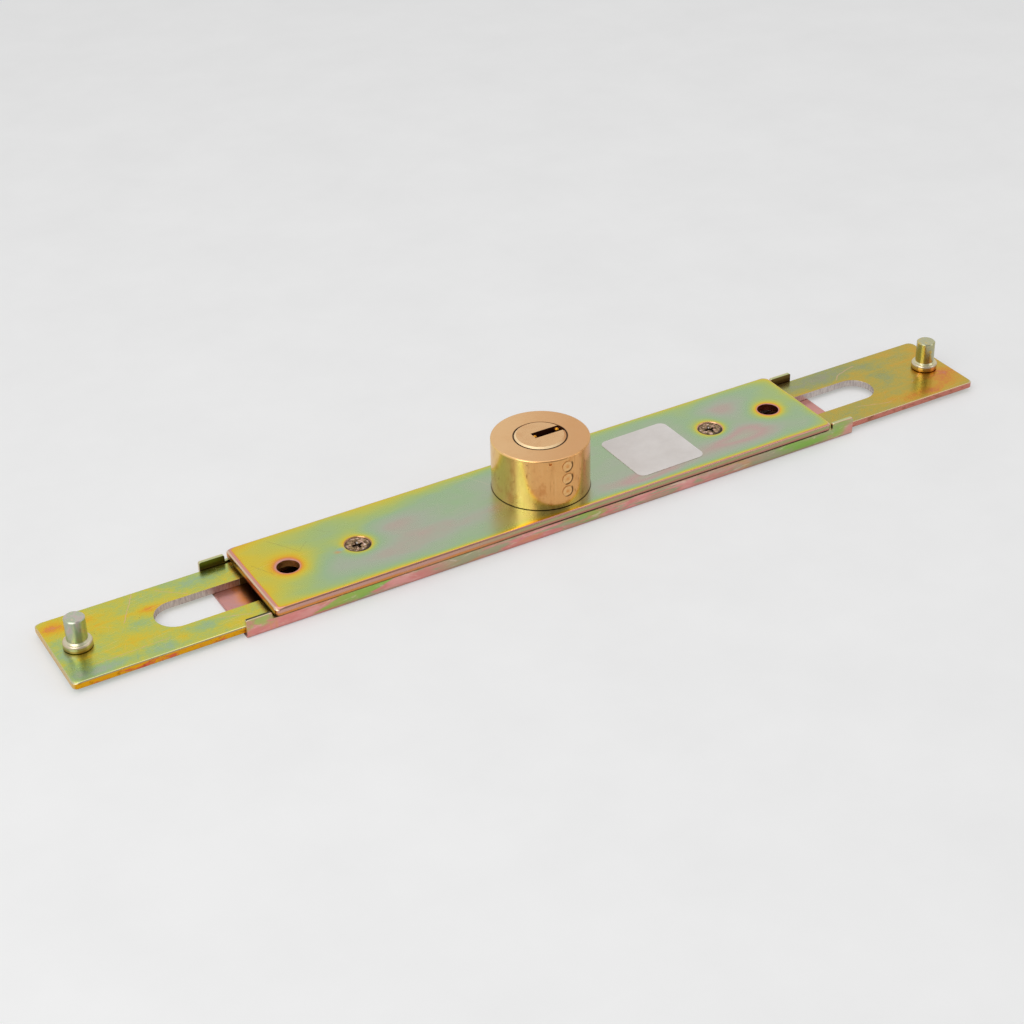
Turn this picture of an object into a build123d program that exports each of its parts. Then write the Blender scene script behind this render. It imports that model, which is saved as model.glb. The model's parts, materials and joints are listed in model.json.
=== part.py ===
from build123d import *
import math
import os

# Roller shutter centre lock, in millimetres.
# X runs along the lock, Y across it and Z up from the back face. The origin is on the
# cylinder's axis, at the underside of the base channel. The bolts are drawn fully out.

# Base channel: pressed sheet with low side flanges and an ear at each end of both
sheet = 1.5
base_length = 280.0
side_height = 5.3
ear_height = 8.0
ear_length = 10.6
ear_round = 0.8
inner_bend = 0.5
outer_bend = 1.0

# Bolt bars: how far they stand out of the channel, and where their slots end
bolt_projection = 67.0
bar_width = 42.8
bar_thickness = 3.0
bar_corner = 2.0
bar_side_gap = 0.1
bar_floor_gap = 0.1
slot_from_bar_end = 40.0
slot_width = 17.0
arm_end_gap = 3.0
arm_end_corner = 3.0

# Rolled-over top edge of a punched plate: its corners are rolled more than its sides
bar_roll = 0.6
bar_roll_drop = 0.5
cover_roll = 0.9
cover_roll_drop = 0.8
roll_share = 0.35
corner_roll = 2.5

# Rack and pinion
gear_module = 1.0
pinion_teeth = 14
pressure_angle = 25.0
tooth_addendum = 0.8
tooth_dedendum = 1.0
gear_backlash = 0.15
rack_extra_pitches = 2

# Cover plate, lying on the guide spacers just clear of the channel's sides
cover_end_gap = 1.2
cover_side_gap = 0.8
cover_overhang = 0.8
cover_thickness = 3.0
cover_corner = 2.0

# Mounting holes and cover screws
mount_from_cover_end = 16.0
mount_hole_radius = 4.5
screw_from_cover_end = 45.7
screw_shank_radius = 2.45
screw_length = 7.6
screw_head_radius = 5.05
screw_head_sink = 0.35
screw_hole_gap = 0.3
screw_thread_gap = 0.05
screw_seat_gap = 0.1
cross_width = 1.3
cross_length = 5.0
cross_depth = 1.9
cross_floor = 0.5

# Guide spacers under the cover screws
spacer_radius = 6.0
spacer_flange_radius = 10.5
spacer_rivet_radius = 3.5
spacer_rivet_flare = 0.9
rivet_gap = 0.02
bar_top_gap = 0.1

# Bolt pins
pin_from_bar_end = 9.9
pin_radius = 4.0
pin_height = 13.0
pin_bevel = 0.4
pin_collar_width = 1.6
pin_collar_height = 3.0
pin_collar_round = 0.9
pin_foot_bevel = 0.6
pin_spigot_radius = 3.0

# Cylinder body
cylinder_radius = 20.0
cylinder_height = 22.6
cylinder_rim = 0.7
cylinder_foot = 0.3
ring_recess_radius = 10.2
ring_recess_depth = 1.4
body_shoulder = 2.0
side_pit_radius = 0.6
side_pit_depth = 0.7
side_pit_angle = -109.0
side_pit_drop = 1.5

# Cylinder plug, with an open groove round it in the body's face
plug_radius = 10.45
plug_gap = 0.05
plug_proud = 0.55
plug_bevel = 0.85
plug_groove_width = 0.4
plug_groove_depth = 0.9
plug_neck_radius = 8.0
plug_neck_below = 0.1
keyway_width = 4.1
keyway_offset = 0.5
keyway_past_axis = 2.95
keyway_depth = 19.5
ward_radius = 0.75
ward_bevel = 0.4
ward_drop = 0.35
outer_ward_x = 8.2
tail_width = 6.0
tail_corner = 0.6

# Retaining ring in the plug's neck
ring_inner_radius = 7.3
ring_outer_radius = 9.6
ring_thickness = 0.8
ring_opening = 70.0
ring_gap = 0.05

# Drive pinion
tail_gap = 0.05
pinion_hub_radius = 5.6
pinion_end_gap = 0.1
journal_radius = 4.6
journal_gap = 0.05
tail_hole_gap = 0.7

# Pin stacks, from the top one down: name, how far the key pin drops without its key,
# and how far its nose stands in the keyway with the key in
stack_names = ("upper", "middle", "lower")
stack_drops = (1.2, 1.5, 0.9)
stack_lifts = (0.5, 0.3, 0.8)
stack_first_height = 7.2
stack_pitch = 5.7
stack_offset = 0.6
tumbler_radius = 1.6
tumbler_gap = 0.05
tumbler_bevel = 0.3
nose_radius = 1.0
nose_wall = 1.2
driver_length = 3.6
chamber_plug_radius = 2.35
chamber_plug_length = 2.0
chamber_plug_proud = 0.2
chamber_plug_gap = 0.02
spring_outer_radius = 1.4
spring_inner_radius = 1.0

# Screws that hold the cylinder body from under the cover
body_screw_spacing = 30.6
body_screw_radius = 1.95
body_screw_head_radius = 3.8
body_screw_reach = 8.0
body_screw_gap = 0.05
body_screw_hole_gap = 0.25

# Sticker on the cover
label_width = 32.0
label_depth = 31.4
label_corner = 3.2
label_thickness = 0.15
label_x = 52.6
label_y = -1.3
label_turn = 1.1

# How far a cutting tool runs past a face, and how near a corner lies to where it is looked for
overrun = 1.0
nearly = 0.01

# Levels and sizes that follow from the above
bar_bottom = sheet + bar_floor_gap
bar_top = bar_bottom + bar_thickness
cover_bottom = side_height + cover_side_gap
cover_top = cover_bottom + cover_thickness
body_top = cover_top + cylinder_height
plug_face = body_top + plug_proud
base_width = bar_width + 2 * (bar_side_gap + sheet)
ears_start = base_length / 2 - ear_length
cover_length = 2 * (ears_start - cover_end_gap)
cover_width = base_width + 2 * cover_overhang
bar_reach = base_length / 2 + bolt_projection
bar_edge = inner_bend - bar_floor_gap
slot_end = bar_reach - slot_from_bar_end
mount_x = cover_length / 2 - mount_from_cover_end
screw_x = cover_length / 2 - screw_from_cover_end
pin_x = bar_reach - pin_from_bar_end
tooth_pitch = math.pi * gear_module
pitch_radius = gear_module * pinion_teeth / 2
bolt_travel = tooth_pitch * pinion_teeth
rack_inner_end = -rack_extra_pitches * tooth_pitch
rack_outer_end = bolt_travel + rack_extra_pitches * tooth_pitch
short_arm_end = bolt_travel * 2 - rack_inner_end + arm_end_gap
UP = (Align.CENTER, Align.CENTER, Align.MIN)


def post(radius, bottom, top, x=0.0, y=0.0):
    """An upright cylinder from one level to another."""
    return Pos(x, y, bottom) * Cylinder(radius, top - bottom, align=UP)


def cone_between(bottom_radius, top_radius, bottom, top, x=0.0, y=0.0):
    """An upright cone frustum from one level to another."""
    return Pos(x, y, bottom) * Cone(bottom_radius, top_radius, top - bottom, align=UP)


def block(x0, x1, y0, y1, z0, z1):
    """A box given by its limits on each axis."""
    middle = Pos((x0 + x1) / 2, (y0 + y1) / 2, (z0 + z1) / 2)
    return middle * Box(x1 - x0, y1 - y0, z1 - z0)


def level_edges(solid, level):
    """The edges that lie flat at one height."""
    return solid.edges().filter_by_position(Axis.Z, level - nearly, level + nearly)


def bore(radius, bottom, top, x=0.0, y=0.0):
    """A round cutter that runs past both of the levels it cuts between."""
    return post(radius, bottom - overrun, top + overrun, x, y)


def rolled_plate(length, width, corner, bottom, top, roll, drop):
    """A punched plate, its top edge rolled over as a punch leaves it."""
    plate = Pos(0, 0, bottom) * extrude(RectangleRounded(length, width, corner), top - drop - bottom)
    rim = [Pos(0, 0, top - drop) * RectangleRounded(length, width, corner)]
    for inset, share in ((roll_share * roll, 1 - roll_share), (roll, 1)):
        rim.append(Pos(0, 0, top - drop + drop * share) * RectangleRounded(
            length - 2 * inset, width - 2 * inset, corner + corner_roll * inset / roll))
    return plate + loft(rim, ruled=True)


def base_channel():
    half = base_width / 2
    inner = half - sheet
    profile = Polyline(
        (-half, ear_height), (-half, 0), (half, 0), (half, ear_height),
        (inner, ear_height), (inner, sheet), (-inner, sheet), (-inner, ear_height), close=True)
    section = make_face(profile)
    low = section.vertices().filter_by_position(Axis.Y, -nearly, nearly)
    section = fillet(low, outer_bend)
    inside = section.vertices().filter_by_position(Axis.Y, sheet - nearly, sheet + nearly)
    inside = inside.filter_by_position(Axis.X, -inner - nearly, inner + nearly)
    section = fillet(inside, inner_bend)
    channel = extrude(Plane.YZ * section, base_length / 2, both=True)
    channel -= block(-ears_start, ears_start, -half - overrun, half + overrun,
                     side_height, ear_height + overrun)
    ear_corners = level_edges(channel, ear_height).filter_by(Axis.Y)
    channel = fillet(ear_corners, ear_round)
    for side in (-1, 1):
        channel -= bore(mount_hole_radius, 0, sheet, side * mount_x)
        channel -= rivet_shape(side * screw_x, rivet_gap, -overrun)
    channel -= bore(journal_radius + journal_gap, 0, sheet)
    return channel


def rivet_shape(x, gap, below):
    """The spacer's spigot through the floor, flared flush with the back face."""
    radius = spacer_rivet_radius + gap
    flare_top = spacer_rivet_flare
    spigot = post(radius, below, sheet, x)
    return spigot + cone_between(radius + flare_top, radius, 0, flare_top, x)


def rack_teeth():
    """Outline of the rack along the near arm, teeth pointing at the pinion."""
    lean = math.tan(math.radians(pressure_angle))
    half_tooth = (tooth_pitch / 2 - gear_backlash / 2) / 2
    root_y = -(pitch_radius + tooth_dedendum)
    tip_y = -(pitch_radius - tooth_addendum)
    root_half = half_tooth + tooth_dedendum * lean
    tip_half = half_tooth - tooth_addendum * lean
    back_y = -(slot_width / 2 + overrun)
    points = [(rack_outer_end, back_y), (rack_inner_end, back_y), (rack_inner_end, root_y)]
    count = round((rack_outer_end - rack_inner_end) / tooth_pitch)
    for i in range(count):
        centre = rack_inner_end + (i + 0.5) * tooth_pitch
        points += [
            (centre - root_half, root_y), (centre - tip_half, tip_y),
            (centre + tip_half, tip_y), (centre + root_half, root_y)]
    points.append((rack_outer_end, root_y))
    return make_face(Polyline(*points, close=True))


def right_bolt_bar():
    half = bar_width / 2
    slot_half = slot_width / 2
    outline = make_face(Polyline(
        (rack_inner_end, -half), (bar_reach, -half), (bar_reach, half), (short_arm_end, half),
        (short_arm_end, slot_half), (slot_end - slot_half, slot_half),
        (slot_end - slot_half, -slot_half), (rack_inner_end, -slot_half), close=True))
    arm_ends = outline.vertices().filter_by_position(
        Axis.X, rack_inner_end - nearly, short_arm_end + nearly)
    arm_ends = [v for v in arm_ends if abs(abs(v.Y) - half) < nearly]
    outline = fillet(arm_ends, arm_end_corner)
    outline -= Pos(slot_end - slot_half, 0) * Circle(slot_half)
    blank = rolled_plate(
        2 * bar_reach, bar_width, bar_corner, bar_bottom, bar_top, bar_roll, bar_roll_drop)
    blank = chamfer(level_edges(blank, bar_bottom), bar_edge)
    bar = blank & Pos(0, 0, bar_bottom) * extrude(outline, bar_thickness)
    bar += Pos(0, 0, bar_bottom) * extrude(rack_teeth(), bar_thickness)
    bar -= bore(pin_spigot_radius + rivet_gap, bar_bottom, bar_top, pin_x)
    return bar


def left_bolt_bar():
    """The same bar, turned half round."""
    return Rot(0, 0, 180) * right_bolt_bar()


def bolt_pin(side):
    """A plain stud with a rounded collar, its spigot peened flush under the bar."""
    collar_top = bar_top + pin_collar_height
    collar = post(pin_radius + pin_collar_width, bar_top, collar_top)
    stud = post(pin_radius, bar_top, bar_top + pin_height)
    stud = chamfer(level_edges(stud, bar_top + pin_height), pin_bevel)
    pin = collar + stud
    rims = level_edges(pin, collar_top).sort_by(Edge.length)
    pin = fillet(rims[-1], pin_collar_round)
    pin = chamfer(level_edges(pin, collar_top).sort_by(Edge.length)[0], pin_foot_bevel)
    pin = chamfer(level_edges(pin, bar_top), pin_bevel)
    pin += post(pin_spigot_radius, bar_bottom, bar_top)
    return Pos(side * pin_x, 0, 0) * pin


def guide_spacer(side):
    """Riveted to the floor, it runs in the slots, and its flange keeps the bars down."""
    x = side * screw_x
    spacer = rivet_shape(x, 0, 0)
    spacer += post(spacer_radius, sheet, cover_bottom, x)
    spacer += post(spacer_flange_radius, bar_top + bar_top_gap, cover_bottom, x)
    return spacer - bore(screw_shank_radius + screw_thread_gap, 0, cover_bottom, x)


def countersunk_screw(shank_radius, head_radius, length):
    """A countersunk screw with its head's face at zero, pointing down."""
    head_depth = head_radius - shank_radius
    shank = post(shank_radius, -length, 0)
    return shank + cone_between(shank_radius, head_radius, -head_depth, 0)


def countersunk_hole(shank_radius, head_radius, seat_gap, hole_gap, depth):
    """The hole for such a screw, its cone wider by the seat's clearance."""
    hole_radius = shank_radius + hole_gap
    cone_radius = head_radius + seat_gap
    hole = post(hole_radius, -depth, overrun)
    return hole + cone_between(
        hole_radius, cone_radius + overrun, hole_radius - cone_radius, overrun)


def cover_screws():
    recess = Box(cross_length, cross_width, 2 * cross_depth)
    recess += Box(cross_width, cross_length, 2 * cross_depth)
    recess = recess & cone_between(cross_floor, cross_length / 2, -cross_depth, 0)
    recess += cone_between(0, cross_width, -cross_depth, 0)
    screw = countersunk_screw(screw_shank_radius, screw_head_radius, screw_length) - recess
    level = cover_top - screw_head_sink
    return Compound([Pos(side * screw_x, 0, level) * screw for side in (-1, 1)])


def cover_plate():
    plate = rolled_plate(
        cover_length, cover_width, cover_corner, cover_bottom, cover_top, cover_roll, cover_roll_drop)
    cover_hole = countersunk_hole(
        screw_shank_radius, screw_head_radius, screw_seat_gap, screw_hole_gap, 2 * cover_thickness)
    body_hole = Rot(180, 0, 0) * countersunk_hole(
        body_screw_radius, body_screw_head_radius, screw_seat_gap, body_screw_hole_gap,
        2 * cover_thickness)
    for side in (-1, 1):
        plate -= bore(mount_hole_radius, cover_bottom, cover_top, side * mount_x)
        plate -= Pos(side * screw_x, 0, cover_top - screw_head_sink) * cover_hole
        plate -= Pos(side * body_screw_spacing / 2, 0, cover_bottom) * body_hole
    tail_hole = math.hypot(tail_width, tail_width) / 2 + tail_hole_gap
    return plate - bore(tail_hole, cover_bottom, cover_top)


def cylinder_screws():
    length = cover_thickness + body_screw_reach
    screw = Rot(180, 0, 0) * countersunk_screw(body_screw_radius, body_screw_head_radius, length)
    half = body_screw_spacing / 2
    return Compound([Pos(side * half, 0, cover_bottom) * screw for side in (-1, 1)])


def stack_level(i):
    """Height of one pin stack, counted from the top one down."""
    row = len(stack_names) - 1 - i
    return cover_top + stack_first_height + row * stack_pitch


def bar_along_y(radius, y0, y1, level):
    """A round bar along Y at a pin stack's place."""
    turned = Rot(-90, 0, 0) * Cylinder(radius, y1 - y0, align=UP)
    return Pos(stack_offset, y0, level) * turned


def cylinder_body():
    body = post(cylinder_radius, cover_top, body_top)
    body = fillet(level_edges(body, body_top), cylinder_rim)
    body = chamfer(level_edges(body, cover_top), cylinder_foot)
    recess_top = cover_top + ring_recess_depth
    shoulder_top = recess_top + body_shoulder
    body -= post(plug_radius + plug_gap, shoulder_top, body_top + overrun)
    body -= post(
        plug_radius + plug_groove_width, body_top - plug_groove_depth, body_top + overrun)
    body -= post(plug_neck_radius + plug_gap, cover_top - overrun, body_top)
    body -= post(ring_recess_radius, cover_top - overrun, recess_top)
    inner = overrun - plug_radius
    for i in range(len(stack_names)):
        level = stack_level(i)
        body -= bar_along_y(tumbler_radius + tumbler_gap, -cylinder_radius, inner, level)
        body -= bar_along_y(
            chamber_plug_radius + chamber_plug_gap, -cylinder_radius - overrun,
            chamber_plug_length - cylinder_radius, level)
    for side in (-1, 1):
        body -= bore(
            body_screw_radius + body_screw_gap, cover_top, cover_top + body_screw_reach,
            side * body_screw_spacing / 2)
    pit_level = body_top - side_pit_drop
    pit = Pos(cylinder_radius, 0, pit_level) * Rot(0, 90, 0) * Cylinder(
        side_pit_radius, 2 * side_pit_depth)
    return body - Rot(0, 0, side_pit_angle) * pit


def keyway_ward(x, y, bottom):
    """A round ward in the keyway, its bevelled tip just under the plug's face."""
    top = plug_face - ward_drop
    ward = post(ward_radius, bottom, top, x, y)
    return chamfer(level_edges(ward, top), ward_bevel)


def cylinder_plug():
    recess_top = cover_top + ring_recess_depth
    main_bottom = recess_top + body_shoulder + plug_gap
    neck_bottom = cover_top + plug_neck_below
    plug = post(plug_radius, main_bottom, plug_face)
    plug = chamfer(level_edges(plug, plug_face), plug_proud, plug_bevel)
    plug += post(plug_neck_radius, neck_bottom, main_bottom)
    groove_top = recess_top - ring_gap
    groove_bottom = groove_top - ring_thickness - 2 * ring_gap
    groove = post(plug_radius, groove_bottom, groove_top)
    plug -= groove - bore(ring_inner_radius - ring_gap, groove_bottom, groove_top)
    near_wall = keyway_offset - keyway_width / 2
    far_wall = keyway_offset + keyway_width / 2
    keyway_floor = plug_face - keyway_depth
    closed_end = -keyway_past_axis
    keyway = block(closed_end, plug_radius + overrun, near_wall, far_wall,
                   keyway_floor, plug_face + overrun)
    keyway -= keyway_ward(closed_end + ward_radius, near_wall + ward_radius, keyway_floor)
    keyway -= keyway_ward(outer_ward_x, far_wall - ward_radius, keyway_floor)
    plug -= keyway
    for i in range(len(stack_names)):
        level = stack_level(i)
        seat = near_wall - nose_wall
        plug -= bar_along_y(tumbler_radius + tumbler_gap, -plug_radius - overrun, seat, level)
        plug -= bar_along_y(nose_radius + tumbler_gap, seat - overrun, keyway_offset, level)
    tail = extrude(RectangleRounded(tail_width, tail_width, tail_corner), neck_bottom - bar_bottom)
    return plug + Pos(0, 0, bar_bottom) * tail


def plug_retaining_ring():
    top = cover_top + ring_recess_depth - 2 * ring_gap
    bottom = top - ring_thickness
    ring = post(ring_outer_radius, bottom, top) - bore(ring_inner_radius, bottom, top)
    reach = 2 * ring_outer_radius
    half_angle = math.radians(ring_opening / 2)
    wedge = make_face(Polyline(
        (0, 0), (reach * math.cos(half_angle), -reach * math.sin(half_angle)),
        (reach * math.cos(half_angle), reach * math.sin(half_angle)), close=True))
    return ring - Pos(0, 0, bottom - overrun) * extrude(wedge, ring_thickness + 2 * overrun)


def involute(angle):
    return math.tan(angle) - angle


def pinion_outline():
    """The toothed outline, with one arc for each involute flank."""
    lean = math.radians(pressure_angle)
    base_radius = pitch_radius * math.cos(lean)
    root_radius = pitch_radius - tooth_dedendum
    tip_radius = pitch_radius + tooth_addendum
    middle_radius = (base_radius + tip_radius) / 2
    pitch_half = (tooth_pitch / 2 - gear_backlash / 2) / (2 * pitch_radius)

    def half_angle(radius):
        return pitch_half + involute(lean) - involute(math.acos(base_radius / radius))

    def at(radius, angle):
        return (radius * math.cos(angle), radius * math.sin(angle))

    lines = []
    step = 2 * math.pi / pinion_teeth
    foot = half_angle(base_radius)
    for i in range(pinion_teeth):
        middle = i * step - math.pi / 2
        lines.append(Line(at(root_radius, middle - foot), at(base_radius, middle - foot)))
        lines.append(ThreePointArc(
            at(base_radius, middle - foot),
            at(middle_radius, middle - half_angle(middle_radius)),
            at(tip_radius, middle - half_angle(tip_radius))))
        lines.append(ThreePointArc(
            at(tip_radius, middle - half_angle(tip_radius)), at(tip_radius, middle),
            at(tip_radius, middle + half_angle(tip_radius))))
        lines.append(ThreePointArc(
            at(tip_radius, middle + half_angle(tip_radius)),
            at(middle_radius, middle + half_angle(middle_radius)),
            at(base_radius, middle + foot)))
        lines.append(Line(at(base_radius, middle + foot), at(root_radius, middle + foot)))
        lines.append(ThreePointArc(
            at(root_radius, middle + foot), at(root_radius, middle + step / 2),
            at(root_radius, middle + step - foot)))
    return make_face(lines)


def drive_pinion():
    toothed = Pos(0, 0, bar_bottom) * extrude(pinion_outline(), bar_thickness)
    pinion = toothed + post(pinion_hub_radius, bar_top, cover_bottom - pinion_end_gap)
    pinion += post(journal_radius, 0, bar_bottom)
    hole = RectangleRounded(tail_width + 2 * tail_gap, tail_width + 2 * tail_gap, tail_corner)
    return pinion - Pos(0, 0, bar_bottom - tail_gap) * extrude(hole, cover_top)


def key_pin(i):
    """Rounded at the shear line, with a nose that drops into the keyway."""
    near_wall = keyway_offset - keyway_width / 2
    shoulder = near_wall - nose_wall - stack_drops[i] - tumbler_gap
    level = stack_level(i)
    pin = bar_along_y(tumbler_radius, -plug_radius - overrun, shoulder, level)
    tip = near_wall + stack_lifts[i]
    pin += bar_along_y(nose_radius, shoulder, tip, level)
    pin = chamfer(pin.edges().sort_by(Axis.Y)[-1], tumbler_bevel)
    return pin & post(plug_radius - plug_gap, cover_top, body_top)


def driver_pin(i):
    inner = -plug_radius - 2 * plug_gap
    pin = bar_along_y(tumbler_radius, inner - driver_length, inner, stack_level(i))
    ends = pin.edges().filter_by(GeomType.CIRCLE)
    return chamfer(ends, tumbler_bevel)


def pin_spring(i):
    """The space that the coiled spring fills between driver and chamber plug."""
    inner = -plug_radius - 2 * plug_gap - driver_length
    outer = chamber_plug_length - cylinder_radius
    level = stack_level(i)
    sleeve = bar_along_y(spring_outer_radius, outer, inner, level)
    return sleeve - bar_along_y(spring_inner_radius, outer - overrun, inner + overrun, level)


def chamber_plug(i):
    """Dressed round with the cylinder's side, and just proud of it."""
    outer = -cylinder_radius - overrun
    plug = bar_along_y(
        chamber_plug_radius, outer, chamber_plug_length - cylinder_radius, stack_level(i))
    return plug & post(cylinder_radius + chamber_plug_proud, cover_top, body_top)


def cover_label():
    sticker = extrude(RectangleRounded(label_width, label_depth, label_corner), label_thickness)
    return Pos(label_x, label_y, cover_top) * Rot(0, 0, label_turn) * sticker


def all_pieces():
    pieces = {
        "base_channel": base_channel(),
        "cover_plate": cover_plate(),
        "left_bolt_bar": left_bolt_bar(),
        "right_bolt_bar": right_bolt_bar(),
        "left_bolt_pin": bolt_pin(-1),
        "right_bolt_pin": bolt_pin(1),
        "left_guide_spacer": guide_spacer(-1),
        "right_guide_spacer": guide_spacer(1),
        "cover_screws": cover_screws(),
        "cylinder_screws": cylinder_screws(),
        "cylinder_body": cylinder_body(),
        "cylinder_plug": cylinder_plug(),
        "plug_retaining_ring": plug_retaining_ring(),
        "drive_pinion": drive_pinion(),
        "cover_label": cover_label(),
    }
    for i, name in enumerate(stack_names):
        pieces[name + "_key_pin"] = key_pin(i)
        pieces[name + "_driver_pin"] = driver_pin(i)
        pieces[name + "_pin_spring"] = pin_spring(i)
        pieces[name + "_chamber_plug"] = chamber_plug(i)
    return pieces


os.makedirs("parts", exist_ok=True)
for node, solid in all_pieces().items():
    export_step(solid, "parts/" + node + ".step")
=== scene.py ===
import json
import math

import bmesh
import bpy
from mathutils import Matrix, Vector

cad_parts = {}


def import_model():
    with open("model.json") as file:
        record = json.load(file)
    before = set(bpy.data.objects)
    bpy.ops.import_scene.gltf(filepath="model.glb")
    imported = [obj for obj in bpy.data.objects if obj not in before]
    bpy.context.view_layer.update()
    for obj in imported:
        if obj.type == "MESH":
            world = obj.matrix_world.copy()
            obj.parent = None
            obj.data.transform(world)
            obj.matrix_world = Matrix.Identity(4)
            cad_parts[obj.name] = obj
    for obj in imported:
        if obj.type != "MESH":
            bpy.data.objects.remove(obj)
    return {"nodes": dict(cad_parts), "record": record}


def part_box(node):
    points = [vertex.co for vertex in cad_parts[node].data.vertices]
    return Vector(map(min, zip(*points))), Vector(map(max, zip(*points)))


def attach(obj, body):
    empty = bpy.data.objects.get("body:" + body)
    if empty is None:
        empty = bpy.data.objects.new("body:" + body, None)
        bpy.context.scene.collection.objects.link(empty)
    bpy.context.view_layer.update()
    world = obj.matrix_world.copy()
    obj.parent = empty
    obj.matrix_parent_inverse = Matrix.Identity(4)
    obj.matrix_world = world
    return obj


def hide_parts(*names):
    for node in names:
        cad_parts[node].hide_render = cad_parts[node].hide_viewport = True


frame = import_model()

# Looks of the roller shutter lock. Lengths in the shaders are millimetres, in meshes metres.
MM = 0.001
X, Y, Z = 0, 1, 2
ALONG_X, ALONG_Y, UPWARDS = Vector((1, 0, 0)), Vector((0, 1, 0)), Vector((0, 0, 1))
nodes = frame["nodes"]
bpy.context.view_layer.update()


def span(node, axis):
    """Where a CAD piece begins and ends along one axis, in millimetres."""
    low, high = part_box(node)
    return low[axis] / MM, high[axis] / MM


def middle(node, axis):
    """The middle of a CAD piece along one axis, in millimetres."""
    return sum(span(node, axis)) / 2


mounts = {mount["name"]: mount for mount in frame["record"]["mounts"]}
mounting_hole = mounts["right_mounting_hole"]

# Sizes of the CAD part that the looks follow, in millimetres
cover_half_length = span("cover_plate", X)[1]
cover_half_width = span("cover_plate", Y)[1]
cover_bottom, cover_top = span("cover_plate", Z)
mount_x = mounting_hole["pos_m"][X] / MM
mount_radius = mounting_hole["dims"]["r_mm"]
screw_radius = span("cover_screws", Y)[1]
screw_x = span("cover_screws", X)[1] - screw_radius
screw_sink = 0.35
slot_half = 8.5
bar_end = span("right_bolt_bar", X)[1]
bar_top = span("right_bolt_bar", Z)[1]
base_half_length = span("base_channel", X)[1]
base_half_width = span("base_channel", Y)[1]
ear_top = span("base_channel", Z)[1]
sheet = 1.5
side_height = 5.3
collar_height = 3.0
collar_top = bar_top + collar_height
cylinder_radius = span("cylinder_body", X)[1]
cylinder_top = span("cylinder_body", Z)[1]
plug_radius = span("cylinder_plug", X)[1]
plug_face = span("cylinder_plug", Z)[1]
keyway_start, keyway_middle, keyway_half = -2.95, 0.5, 2.05
stack_names = ("lower", "middle", "upper")
stack_x = middle("upper_chamber_plug", X)
stack_z = middle("middle_chamber_plug", Z)
stack_pitch = middle("upper_chamber_plug", Z) - stack_z

# Middles of the two ward tips in the keyway, along X and Y
ward_places = ((-2.2, 0.55), (8.3, 1.1))

# The photograph's side of the lock, as a direction across the cover
view_x, view_y = -0.489, -0.872

# Where the cover's sides turn from pink to olive, along X
cover_turn = (-62.0, -8.0)

# Where the cover's painted shadow on the left bar's slot walls starts, from the lock's middle; a painted
# highlight line runs along it
cover_shadow_start = 129.25

# Colours of the yellow zinc plating as its film thickens, from an edge inwards
film_colours = (
    (0.00, (208, 152, 150)),
    (0.09, (224, 156, 138)),
    (0.17, (236, 152, 72)),
    (0.26, (238, 184, 50)),
    (0.38, (226, 202, 66)),
    (0.50, (204, 204, 94)),
    (0.60, (180, 200, 124)),
    (0.70, (168, 194, 152)),
    (0.81, (180, 188, 166)),
    (0.92, (200, 170, 162)),
    (1.00, (186, 188, 166)),
)

# The film on each large piece before its edges, mottling and patches change it
cover_level, bar_level, base_level = 0.76, 0.50, 0.03


def linear(rgb):
    """An sRGB colour of 0 to 255 as linear light."""
    return tuple(c / 255 / 12.92 if c <= 10 else ((c / 255 + 0.055) / 1.055) ** 2.4 for c in rgb)


class Nodes:
    """A node tree, built from expressions."""

    def __init__(self, tree):
        self.tree = tree
        self.tree.nodes.clear()

    def node(self, kind, **inputs):
        """A new node, its inputs set to values or joined to other nodes."""
        made = self.tree.nodes.new(kind)
        for name, value in inputs.items():
            self.put(made.inputs[name.replace("_", " ")], value)
        return made

    def put(self, socket, value):
        """Joins a socket to another or sets its value. A colour is sRGB, of 0 to 255."""
        if isinstance(value, bpy.types.NodeSocket):
            self.tree.links.new(value, socket)
        elif isinstance(value, tuple) and len(value) == 3 and socket.type == "RGBA":
            socket.default_value = (*linear(value), 1)
        else:
            socket.default_value = value

    def math(self, operation, *values, clamp=False):
        made = self.node("ShaderNodeMath")
        made.operation = operation
        made.use_clamp = clamp
        for socket, value in zip(made.inputs, values):
            self.put(socket, value)
        return made.outputs[0]

    def add(self, first, *others):
        for other in others:
            first = self.math("ADD", first, other)
        return first

    def times(self, first, *others):
        for other in others:
            first = self.math("MULTIPLY", first, other)
        return first

    def minus(self, first, second):
        return self.math("SUBTRACT", first, second)

    def over(self, first, second):
        return self.math("DIVIDE", first, second)

    def flip(self, value):
        return self.minus(1.0, value)

    def size(self, value):
        return self.math("ABSOLUTE", value)

    def least(self, first, *others):
        for other in others:
            first = self.math("MINIMUM", first, other)
        return first

    def most(self, first, *others):
        for other in others:
            first = self.math("MAXIMUM", first, other)
        return first

    def squares(self, first, second):
        return self.add(self.times(first, first), self.times(second, second))

    def hypot(self, first, second):
        return self.math("SQRT", self.squares(first, second))

    def sway(self, value, amount):
        """Noise of 0 to 1 turned into a shift to either side."""
        return self.times(self.minus(value, 0.5), amount)

    def step(self, value, low, high, start=0.0, end=1.0):
        """From start at low to end at high, smooth between. Low may be the larger of the two."""
        made = self.node("ShaderNodeMapRange")
        made.interpolation_type = "SMOOTHSTEP"
        self.put(made.inputs["Value"], value)
        ends = (low, high, start, end) if low < high else (high, low, end, start)
        for socket, limit in zip(made.inputs[1:5], ends):
            socket.default_value = limit
        return made.outputs[0]

    def layers(self, share, first, second):
        """Two surfaces or backgrounds mixed: the second has the share."""
        made = self.node("ShaderNodeMixShader")
        for socket, value in zip(made.inputs, (share, first.outputs[0], second.outputs[0])):
            self.put(socket, value)
        return made


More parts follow.
